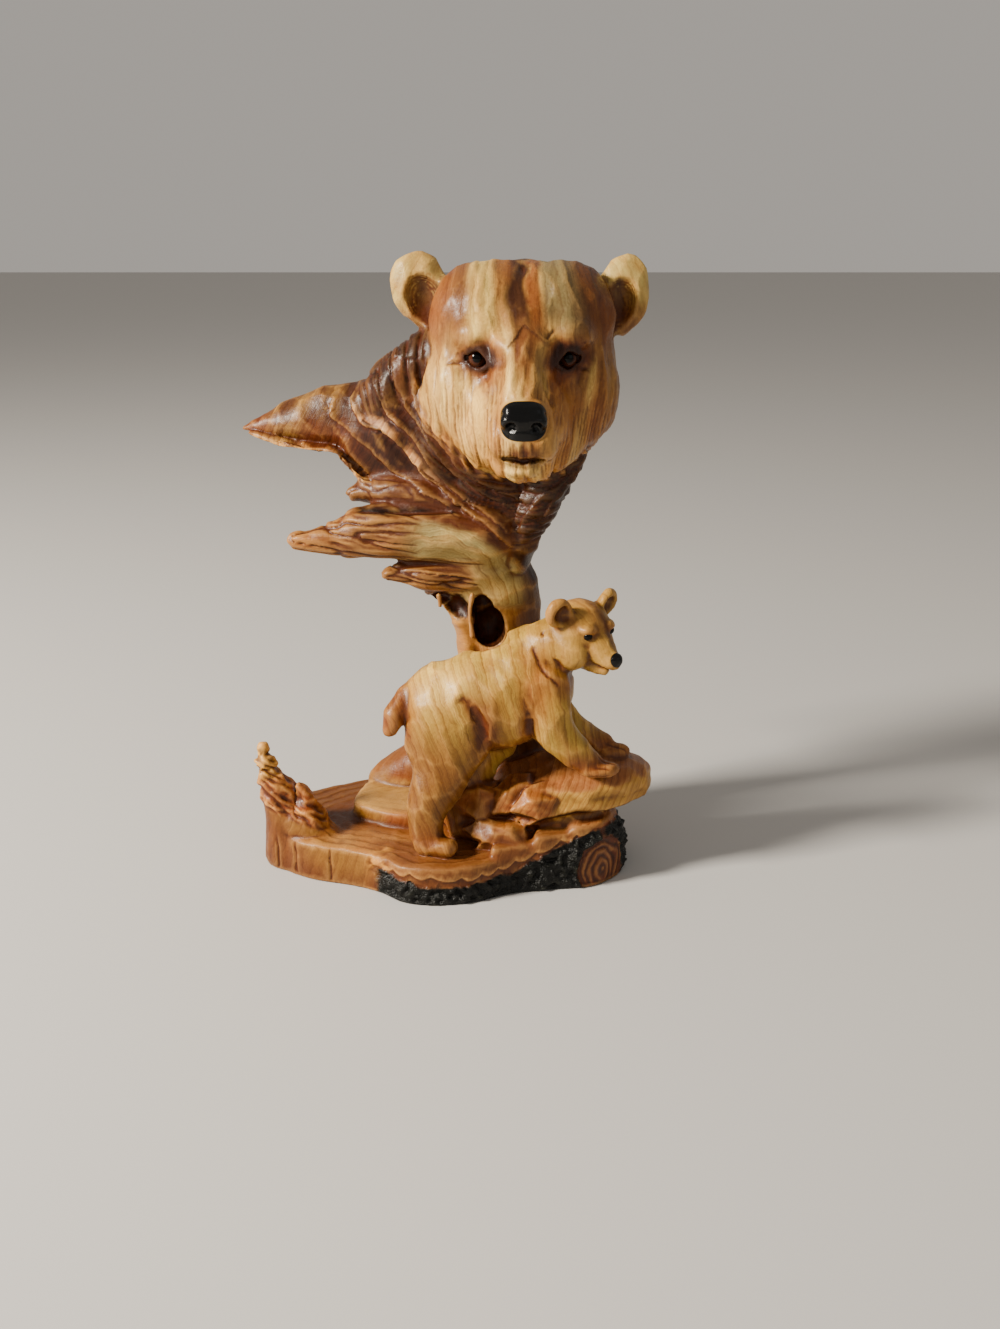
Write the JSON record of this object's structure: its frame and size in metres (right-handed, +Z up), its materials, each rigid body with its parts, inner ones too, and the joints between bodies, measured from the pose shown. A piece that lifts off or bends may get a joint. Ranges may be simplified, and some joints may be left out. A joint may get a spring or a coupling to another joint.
{
  "type": "mother bear and cub statue",
  "caption": "Tabletop statue in painted faux carved wood: a mother bear's head rises from splintered driftwood over her cub, which stands on a rooty, bark-edged ground.",
  "frame": {"origin": "middle of the flat underside, on the surface that the statue stands on", "axes": "+X to the viewer's right as the mother bear looks at the viewer, +Y away from the viewer, +Z up"},
  "size_m": [0.1534, 0.0951, 0.2278],
  "materials": {
    "painted_wood_resin": "varnished polyresin, airbrushed as golden carved wood with red-brown shading, dark bark and black noses"
  },
  "bodies": {
    "root": {"bear_and_cub_statue": "painted_wood_resin"}
  },
  "joints": []
}
